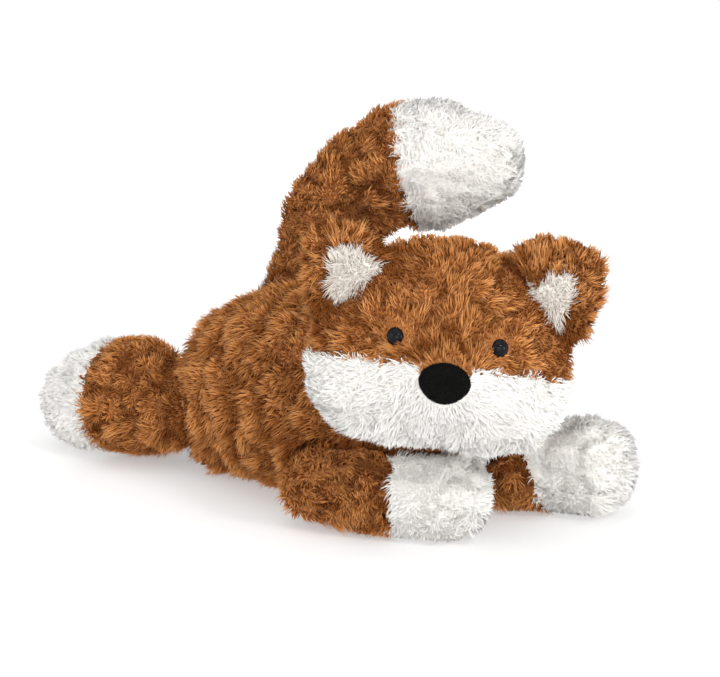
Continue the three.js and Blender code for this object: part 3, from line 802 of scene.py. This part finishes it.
def pile_tree():
    tree = bpy.data.node_groups.new("Pile", "GeometryNodeTree")
    sockets = tree.interface
    sockets.new_socket("Geometry", in_out="INPUT", socket_type="NodeSocketGeometry")
    for name in SOCKETS:
        sockets.new_socket(name, in_out="INPUT", socket_type="NodeSocketFloat")
    sockets.new_socket("Tuft size", in_out="INPUT", socket_type="NodeSocketVector")
    sockets.new_socket("Seed", in_out="INPUT", socket_type="NodeSocketInt")
    sockets.new_socket("Material", in_out="INPUT", socket_type="NodeSocketMaterial")
    sockets.new_socket("Geometry", in_out="OUTPUT", socket_type="NodeSocketGeometry")
    given = tree.nodes.new("NodeGroupInput").outputs

    def attribute(name, kind):
        return node(tree, "GeometryNodeInputNamedAttribute", {"Name": name}, data_type=kind).outputs[0]

    def store(geometry, name, kind, value, domain="POINT"):
        made = node(tree, "GeometryNodeStoreNamedAttribute", {"Geometry": geometry, "Name": name},
                    data_type=kind, domain=domain)
        tree.links.new(value, made.inputs["Value"])
        return made.outputs[0]

    def random(low, high, seed):
        key = number(tree, "ADD", given["Seed"], seed)
        inputs = {2: low, 3: high, "Seed": key}
        return node(tree, "FunctionNodeRandomValue", inputs, data_type="FLOAT").outputs[1]

    def centred(colour):
        return vector(tree, "SUBTRACT", colour, (0.5, 0.5, 0.5))

    # Points, thinned where there is little room
    pile_share = attribute("pile", "FLOAT")
    thinned = number(tree, "MULTIPLY_ADD", pile_share, 1 - THINNEST, THINNEST)
    thinned = number(tree, "MULTIPLY", thinned, number(tree, "GREATER_THAN", pile_share, BALD))
    thinned = number(tree, "MULTIPLY", thinned, given["Density"])
    points = node(tree, "GeometryNodeDistributePointsOnFaces", {
        "Mesh": given["Geometry"],
        "Selection": attribute("outer", "BOOLEAN"),
        "Density": thinned,
        "Seed": given["Seed"],
    })
    normal = points.outputs["Normal"]
    place = node(tree, "GeometryNodeInputPosition").outputs[0]

    # Tufts: the way from here to the middle of this tuft, and the tuft's own shade
    warp_noise = node(tree, "ShaderNodeTexNoise", {"Vector": place, "Scale": 1 / WARP_SIZE, "Detail": 1})
    warp = centred(warp_noise.outputs["Color"])
    warped = vector(tree, "ADD", place, vector(tree, "SCALE", warp, WARP * 2))
    cells = node(tree, "ShaderNodeTexVoronoi", {
        "Vector": vector(tree, "DIVIDE", warped, given["Tuft size"]),
        "Scale": 1,
    })
    tuft = node(tree, "ShaderNodeSeparateXYZ", {0: cells.outputs["Color"]}).outputs
    lock = number(tree, "MULTIPLY", given["Lock"], LOCK_GAIN)
    own_way = vector(tree, "SCALE", centred(cells.outputs["Color"]), lock)
    off_centre = number(tree, "MINIMUM", number(tree, "MULTIPLY", cells.outputs["Distance"], TUFT_EDGE), 1)

    # Wisps: a few strands whose tips run together
    crinkle = vector(tree, "ADD", place, vector(tree, "SCALE", warp, WARP / 2))
    wisps = node(tree, "ShaderNodeTexVoronoi", {"Vector": crinkle, "Scale": given["Wisp"]})
    inwards = vector(tree, "SUBTRACT", wisps.outputs["Position"], crinkle)
    gather = vector(tree, "SCALE", inwards, given["Gather"])
    wisp = node(tree, "ShaderNodeSeparateXYZ", {0: wisps.outputs["Color"]}).outputs

    # Lean: lay, swirl and frizz, as shares of the strand's length
    swirl_noise = node(tree, "ShaderNodeTexNoise", {"Vector": place, "Scale": 1 / SWIRL_SIZE, "Detail": 2})
    swirling = number(tree, "MULTIPLY", given["Swirl"], SWIRL_GAIN)
    swirl = vector(tree, "SCALE", centred(swirl_noise.outputs["Color"]), swirling)
    comb = vector(tree, "SCALE", attribute("lay", "FLOAT_VECTOR"), given["Comb"])
    frizz = node(tree, "ShaderNodeCombineXYZ", {
        "X": random(-1, 1, 1), "Y": random(-1, 1, 2), "Z": random(-1, 1, 3),
    }).outputs[0]
    frizz = vector(tree, "ADD", frizz, vector(tree, "SCALE", centred(wisps.outputs["Color"]), FRIZZ_GAIN))
    frizz = vector(tree, "SCALE", frizz, given["Frizz"])
    share = vector(tree, "ADD", vector(tree, "ADD", comb, swirl), vector(tree, "ADD", own_way, frizz))

    # Length, lower at the edge of a tuft and in a crease
    dip = number(tree, "MULTIPLY", number(tree, "POWER", off_centre, 2), given["Crown"])
    tuft_height = number(tree, "MULTIPLY_ADD", tuft["Y"], TUFT_MORE, TUFT_LEAST)
    tuft_height = number(tree, "SUBTRACT", tuft_height, dip)
    own_length = number(tree, "MULTIPLY", pile_share, random(SHORTEST_STRAND, LONGEST_STRAND, 4))
    length = number(tree, "MULTIPLY", given["Length"], own_length)
    length = number(tree, "MULTIPLY", length, tuft_height)
    crease = attribute("crease", "FLOAT")
    length = number(tree, "MULTIPLY", length, number(tree, "MULTIPLY_ADD", crease, -CREASE_SHORTER, 1))
    lean = vector(tree, "ADD", vector(tree, "SCALE", share, length),
                  vector(tree, "SCALE", gather, pile_share))
    outwards = vector(tree, "DOT_PRODUCT", lean, normal)
    lean = vector(tree, "SUBTRACT", lean, vector(tree, "SCALE", normal, outwards))
    stand = vector(tree, "SCALE", normal, length)

    # Shade: random tone by tuft, wisp and strand, and painted shade at tuft edges, in creases and near parts
    shade = number(tree, "MULTIPLY_ADD", tuft["X"], TUFT_SHADE, MIDDLE_SHADE)
    # painted shade at the edge of a tuft
    shade = number(tree, "MULTIPLY_ADD", off_centre, -TUFT_EDGE_PAINTED_SHADE, shade)
    shade = number(tree, "ADD", shade, number(tree, "MULTIPLY", wisp["Z"], WISP_SHADE))
    shade = number(tree, "ADD", shade, random(0, STRAND_SHADE, 5))
    # painted shade in creases
    shade = number(tree, "MULTIPLY_ADD", crease, -CREASE_PAINTED_SHADE, shade)
    # painted shade where other parts lie near
    near_parts_painted_shade = number(tree, "MULTIPLY", attribute("shut in", "FLOAT"), NEAR_PARTS_PAINTED_SHADE)
    shade = number(tree, "SUBTRACT", shade, near_parts_painted_shade)

    marked = store(points.outputs["Points"], "stand", "FLOAT_VECTOR", stand)
    marked = store(marked, "lean", "FLOAT_VECTOR", lean)
    marked = store(marked, "shade", "FLOAT", shade)
    marked = store(marked, "ground", "FLOAT_VECTOR", normal)

    # One strand: a pyramid of height 1, told how far along itself each point is
    strand = node(tree, "GeometryNodeMeshCone", {
        "Vertices": STRAND_SIDES, "Side Segments": STRAND_LENGTHS,
        "Radius Top": 0, "Radius Bottom": 1, "Depth": 1,
    }, fill_type="NGON").outputs["Mesh"]
    height = node(tree, "ShaderNodeSeparateXYZ", {0: place}).outputs["Z"]
    strand = store(strand, "along", "FLOAT", height)
    belly = number(tree, "MULTIPLY", height, number(tree, "SUBTRACT", 1, height))
    fuller = number(tree, "MULTIPLY_ADD", belly, BELLY, 1)
    wide = node(tree, "ShaderNodeCombineXYZ", {"X": fuller, "Y": fuller, "Z": 0}).outputs[0]
    strand = node(tree, "GeometryNodeSetPosition", {
        "Geometry": strand, "Position": vector(tree, "MULTIPLY", place, wide),
    }).outputs[0]
    width = node(tree, "ShaderNodeCombineXYZ", {
        "X": given["Thickness"], "Y": given["Thickness"], "Z": given["Thickness"],
    }).outputs[0]
    strands = node(tree, "GeometryNodeInstanceOnPoints", {
        "Points": marked, "Instance": strand, "Rotation": points.outputs["Rotation"], "Scale": width,
    }).outputs[0]
    strands = node(tree, "GeometryNodeRealizeInstances", {"Geometry": strands}).outputs[0]

    # Bend each strand from its root
    along = attribute("along", "FLOAT")
    rise = number(tree, "MULTIPLY", along, number(tree, "SUBTRACT", 1, number(tree, "MULTIPLY", along, BOW)))
    bend = number(tree, "POWER", along, BEND_POWER)
    offset = vector(tree, "ADD",
                    vector(tree, "SCALE", attribute("stand", "FLOAT_VECTOR"), rise),
                    vector(tree, "SCALE", attribute("lean", "FLOAT_VECTOR"), bend))
    strands = node(tree, "GeometryNodeSetPosition", {"Geometry": strands, "Offset": offset}).outputs[0]
    above = node(tree, "ShaderNodeSeparateXYZ", {0: place}).outputs
    kept_up = node(tree, "ShaderNodeCombineXYZ", {
        "X": above["X"], "Y": above["Y"], "Z": number(tree, "MAXIMUM", above["Z"], FLOOR_CLEAR),
    }).outputs[0]
    strands = node(tree, "GeometryNodeSetPosition", {"Geometry": strands, "Position": kept_up}).outputs[0]
    palette = node(tree, "ShaderNodeCombineXYZ", {"X": attribute("shade", "FLOAT"), "Y": along}).outputs[0]
    strands = store(strands, PALETTE_MAP, "FLOAT2", palette, "CORNER")
    strands = node(tree, "GeometryNodeSetShadeSmooth", {"Geometry": strands}).outputs[0]

    # Light passes through the fibres, so they take their shading partly from the surface that they stand on
    own_normal = node(tree, "GeometryNodeInputNormal").outputs[0]
    own = vector(tree, "SCALE", own_normal, number(tree, "SUBTRACT", 1, given["Soft"]))
    shared = vector(tree, "SCALE", attribute("ground", "FLOAT_VECTOR"), given["Soft"])
    strands = node(tree, "GeometryNodeSetMeshNormal", {
        "Mesh": strands, "Custom Normal": vector(tree, "NORMALIZE", vector(tree, "ADD", own, shared)),
    }, mode="FREE", domain="POINT").outputs[0]
    dressed = node(tree, "GeometryNodeSetMaterial", {"Geometry": strands, "Material": given["Material"]})
    node(tree, "NodeGroupOutput", {"Geometry": dressed.outputs[0]})
    return tree


pile = pile_tree()
socket_ids = {s.name: s.identifier for s in pile.interface.items_tree if s.in_out == "INPUT"}

# %% [markdown]
# Each fabric has its own pile. The brown is long and combed on the body, in small tufts on the head, and
# dense on the ears. The white is a little shorter and takes its shading from the form. Sizes are in
# millimetres, and density is in strands on a square millimetre. A panel with too many strands for one piece
# has them in two pieces or more.

# %% Growing the pile
BODY_PILE = dict(
    length=6.8, density=0.84, thickness=0.28, comb=0.8, swirl=0.2, lock=0.2, frizz=0.15, crown=0.2,
    wisp=1.9, gather=0.75, soft=0.3, tuft=(9, 7, 9),
)
HEAD_PILE = dict(
    length=6, density=1.1, thickness=0.25, comb=0.45, swirl=0.3, lock=0.35, frizz=0.15, crown=0.35,
    wisp=1.7, gather=0.75, soft=0.3, tuft=(5, 5, 5),
)
LIMB_PILE = dict(
    length=6.5, density=0.86, thickness=0.28, comb=0.45, swirl=0.3, lock=0.25, frizz=0.16, crown=0.2,
    wisp=1.9, gather=0.75, soft=0.3, tuft=(7, 7, 7),
)
WHITE_PILE = dict(
    length=5.5, density=1, thickness=0.3, comb=0.25, swirl=0.35, lock=0.25, frizz=0.2, crown=0.1,
    wisp=1.9, gather=0.6, soft=1, tuft=(6, 6, 6),
)
EAR_PILE = dict(
    length=7, density=1.9, thickness=0.22, comb=0.5, swirl=0.2, lock=0.3, frizz=0.2, crown=0.2,
    wisp=2.2, gather=0.5, soft=0.25, tuft=(5, 5, 5),
)
LINING_PILE = dict(
    length=7, density=1.7, thickness=0.24, comb=0.5, swirl=0.4, lock=0.5, frizz=0.15, crown=0.3,
    wisp=2.4, gather=0.7, soft=0.4, tuft=(4, 4, 4),
)
MOST_STRANDS = 19000
NOSE_SEED = 9
NECK_SEED = 8
STRAND_FACES = STRAND_SIDES * (STRAND_LENGTHS * 2 - 1) + 1


def settings_for(panel):
    body = body_of[panel]
    if body.startswith("ear"):
        return LINING_PILE if panel in WHITE else EAR_PILE
    if panel in WHITE:
        return WHITE_PILE
    if body == "torso":
        return BODY_PILE
    return HEAD_PILE if body == "head" else LIMB_PILE


def pile_of(panel):
    if panel.startswith("ear_lining"):
        return lining_pile
    return white_pile if panel in WHITE else brown_pile


def covered_area(mesh):
    """The area that carries pile, less where the pile is thinner."""
    pile_share = np.zeros(len(mesh.vertices), np.float32)
    mesh.attributes["pile"].data.foreach_get("value", pile_share)
    area = 0
    for face, outer in zip(mesh.polygons, mesh.attributes["outer"].data):
        share = pile_share[face.vertices[0]]
        if outer.value and share > BALD:
            area += face.area * (THINNEST + (1 - THINNEST) * share)
    return area


def grow(name, mesh, look, material, seed, parts=1):
    """One piece of pile on a mesh, with one of so many parts of its strands."""
    work = add_object(name, mesh)
    modifier = work.modifiers.new("Pile", "NODES")
    modifier.node_group = pile
    values = {
        "Density": look["density"] / MM**2 / parts,
        "Length": look["length"] * MM,
        "Thickness": look["thickness"] * MM,
        "Comb": look["comb"],
        "Swirl": look["swirl"],
        "Lock": look["lock"],
        "Frizz": look["frizz"],
        "Crown": look["crown"],
        "Wisp": 1 / (look["wisp"] * MM),
        "Gather": look["gather"],
        "Soft": look["soft"],
        "Tuft size": [t * MM for t in look["tuft"]],
        "Seed": seed,
        "Material": material,
    }
    for key, value in values.items():
        modifier[socket_ids[key]] = value
    grown = add_object(name, applied(work, name))
    grown.name = name
    return grown


def dress(panel, seed):
    """The panel's backing and its pile, riding on the panel's body."""
    mesh = panel_meshes[panel]
    white = panel in WHITE
    backing = add_object(f"{panel}_backing", mesh)
    mesh.materials.append(white_cloth if white else brown_cloth)
    look = settings_for(panel)
    area = covered_area(mesh)
    strands = area / MM**2 * look["density"]
    parts = math.ceil(strands / MOST_STRANDS)
    made = [backing]
    for part in range(parts):
        name = f"{panel}_pile_{part + 1}" if parts > 1 else f"{panel}_pile"
        made.append(grow(name, mesh, look, pile_of(panel), seed + part, parts))
    for piece in made:
        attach(piece, body_of[panel])
    print(panel, round(area * 1e4), "cm2,", round(strands), "strands in", parts)
    return backing, strands


fillings = {panels[0]: inside for panels, inside in PARTS.values()}
strand_total = 0
for i, panel in enumerate(panel_meshes):
    backing, strands = dress(panel, seed=100 * (i + 1))
    strand_total += strands
    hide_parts(panel, *fillings.get(panel, []))
print("strands in all", round(strand_total), "triangles", round(strand_total * STRAND_FACES))

# %% [markdown]
# The neck is a ball of filling with a stem, hidden between the body and the head. It is smoothed as the
# forms are, and has short brown pile, because its front shows under the chin when the head is turned and
# lifted.

# %% Neck
NECK_SHARE = 0.5
# the whole neck's pile gets painted shade, as pile near other parts does
NECK_PAINTED_SHADE = 0.5
NECK_GROWTH = 2.5 * MM


def even_pile(mesh, share, painted_shade_nearness):
    """Pile of one length all over a mesh that isn't one of the panels."""
    count = len(mesh.vertices)
    put_attribute(mesh, "pile", "FLOAT", np.full(count, share))
    put_attribute(mesh, "lay", "FLOAT_VECTOR", np.zeros((count, 3)))
    put_attribute(mesh, "crease", "FLOAT", np.zeros(count))
    # painted shade, the same all over
    put_attribute(mesh, "shut in", "FLOAT", np.full(count, painted_shade_nearness))
    outer_faces = mesh.attributes.new("outer", "BOOLEAN", "FACE")
    outer_faces.data.foreach_set("value", [True] * len(mesh.polygons))
    mesh.shade_smooth()


neck_shape = stuffed_form(["neck_filling"], -NECK_GROWTH, "neck", EAR_VOXEL, NECK_ROUNDS)
neck_mesh = bpy.data.meshes.new("neck wad")
neck_shape.to_mesh(neck_mesh)
neck_shape.free()
even_pile(neck_mesh, NECK_SHARE, NECK_PAINTED_SHADE)
neck_mesh.materials.append(brown_cloth)
neck_wad = add_object("neck_wad", neck_mesh)
neck_pile = grow("neck_pile", neck_mesh, HEAD_PILE, brown_pile, NECK_SEED)
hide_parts("neck_filling")
for piece in (neck_wad, neck_pile):
    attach(piece, "neck")

# %% [markdown]
# The nose is a stuffed oval of black felt. Its surface is fuzzy and catches the light in specks, so it gets
# very short and fine fibres. The eyes are glossy domed beads.

# %% Nose
NOSE_PILE = dict(
    length=1, density=6, thickness=0.1, comb=0, swirl=0.5, lock=0.5, frizz=0.6, crown=0.2,
    wisp=0.8, gather=0.3, soft=0.2, tuft=(1.2, 1.2, 1.2),
)
NOSE_INSET = 1.2 * MM
nose_work = add_object("nose work", joined(["nose"]))
add_modifier(nose_work, "SUBSURF", levels=2, render_levels=2)
add_modifier(nose_work, "DISPLACE", strength=-NOSE_INSET, mid_level=0)
nose_mesh = applied(nose_work, "nose felt")
even_pile(nose_mesh, share=1, painted_shade_nearness=0)
nose_piece = add_object("nose_felt", nose_mesh)
nose_fibres = grow("nose_fibres", nose_mesh, NOSE_PILE, felt_pile, NOSE_SEED)
nose_mesh.materials.append(nose_felt)
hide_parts("nose")
for piece in (nose_piece, nose_fibres):
    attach(piece, "head")

# %% Eyes
EYE_RADIUS = 4.2 * MM
EYE_DOME = 3.8 * MM
BEAD_SEGMENTS = 48


def middle_of(name):
    return Vector(read_vectors(cad[name].data).mean(0))


def bead_eye(side):
    """A domed bead on the axis from the eye's washer to the eye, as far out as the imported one."""
    axis_point = middle_of(f"eye_washer_{side}")
    out = (middle_of(f"eye_{side}") - axis_point).normalized()
    places = read_vectors(cad[f"eye_{side}"].data)
    top = max(Vector(p).dot(out) for p in places)
    centre = axis_point + out * (top - EYE_DOME - axis_point.dot(out))
    shape = bmesh.new()
    bmesh.ops.create_uvsphere(shape, u_segments=BEAD_SEGMENTS, v_segments=BEAD_SEGMENTS // 2, radius=1)
    stretch = Matrix.Diagonal((EYE_RADIUS, EYE_RADIUS, EYE_DOME, 1))
    turn = out.to_track_quat("Z", "Y").to_matrix().to_4x4()
    bmesh.ops.transform(shape, matrix=Matrix.Translation(centre) @ turn @ stretch, verts=shape.verts)
    mesh = bpy.data.meshes.new(f"eye {side}")
    shape.to_mesh(mesh)
    shape.free()
    mesh.shade_smooth()
    mesh.materials.append(bead)
    piece = add_object(f"eye_bead_{side}", mesh)
    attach(piece, "head")
    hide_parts(f"eye_{side}")


for side in ("right", "left"):
    bead_eye(side)
    washer = cad[f"eye_washer_{side}"]
    washer.data.materials.clear()
    washer.data.materials.append(washer_plastic)

# %% [markdown]
# The photograph is a plain studio picture: white all round, soft light from every side, and a faint shadow
# under the fox. The world lights the fox like a white room, and is seen as pure white. The floor is pale
# paper that glows a little, a painted light that also lights the fox from below, and for the camera it
# turns to white away from the fox. Five lamps give the form.

# %% Floor, world and lamps
FLOOR_SIZE = 6
FLOOR_COLOUR = (0.66, 0.66, 0.66, 1)
# the floor's glow for every ray is painted light: it lights the fox from below and lightens its shadow
FLOOR_LIGHT = 0.34
FAR_GLOW = 0.4
FAR_START = 0.35
FAR_END = 0.9
WORLD_STRENGTH = 0.84


def unshaded_rays(tree, path):
    """1 for the camera's rays, also in or through something, and 0 for rays that carry light."""
    seen_in_something = number(tree, "MAXIMUM", path["Is Glossy Ray"], path["Is Transmission Ray"])
    return number(tree, "MAXIMUM", path["Is Camera Ray"], seen_in_something)


def floor_material():
    made, tree = new_material("white floor")
    path = node(tree, "ShaderNodeLightPath").outputs
    seen = unshaded_rays(tree, path)
    paper = node(tree, "ShaderNodeBsdfDiffuse", {"Color": FLOOR_COLOUR})
    place = node(tree, "ShaderNodeTexCoord").outputs["Object"]
    away = node(tree, "ShaderNodeVectorMath", {0: place}, operation="LENGTH")
    far_away = node(tree, "ShaderNodeMapRange", {
        "Value": away.outputs["Value"],
        "From Min": FAR_START, "From Max": FAR_END,
        "To Min": 0, "To Max": FAR_GLOW,
    }).outputs["Result"]
    strength = number(tree, "MULTIPLY_ADD", seen, far_away, FLOOR_LIGHT)
    glow = node(tree, "ShaderNodeEmission", {"Color": (1, 1, 1, 1), "Strength": strength})
    finish_material(tree, node(tree, "ShaderNodeAddShader", {0: paper.outputs[0], 1: glow.outputs[0]}))
    return made


floor_mesh = bpy.data.meshes.new("floor")
half = FLOOR_SIZE / 2
corners = [(-half, -half, 0), (half, -half, 0), (half, half, 0), (-half, half, 0)]
floor_mesh.from_pydata(corners, [], [(0, 1, 2, 3)])
floor_mesh.materials.append(floor_material())
floor = add_object("floor", floor_mesh)

world = bpy.data.worlds.new("studio")
bpy.context.scene.world = world
world.use_nodes = True
sky = world.node_tree
sky.nodes.clear()
path = node(sky, "ShaderNodeLightPath").outputs
seen = unshaded_rays(sky, path)
strength = number(sky, "MAXIMUM", seen, WORLD_STRENGTH)
backdrop = node(sky, "ShaderNodeBackground", {"Color": (1, 1, 1, 1), "Strength": strength})
node(sky, "ShaderNodeOutputWorld", {"Surface": backdrop.outputs[0]})

LAMPS = {
    "overhead": dict(place=(-0.35, -0.35, 1.5), size=1.2, power=4),
    "front": dict(place=(-0.9, -1.4, 0.12), size=1.2, power=13),
    "left": dict(place=(-1.5, 0.2, 0.35), size=1.2, power=8),
    "right front": dict(place=(0.6, -1.5, 0.2), size=0.6, power=6.5),
    "window": dict(place=(-0.15, -1.3, 1.05), size=0.14, power=5),
}
LIT_POINT = Vector((0, -0.02, 0.08))
for name, lamp in LAMPS.items():
    light = bpy.data.lights.new(name, "AREA")
    light.size = lamp["size"]
    light.energy = lamp["power"]
    stand = add_object(name, light)
    stand.location = lamp["place"]
    stand.rotation_euler = (LIT_POINT - stand.location).to_track_quat("-Z", "Y").to_euler()

bpy.context.scene.view_settings.view_transform = "Standard"
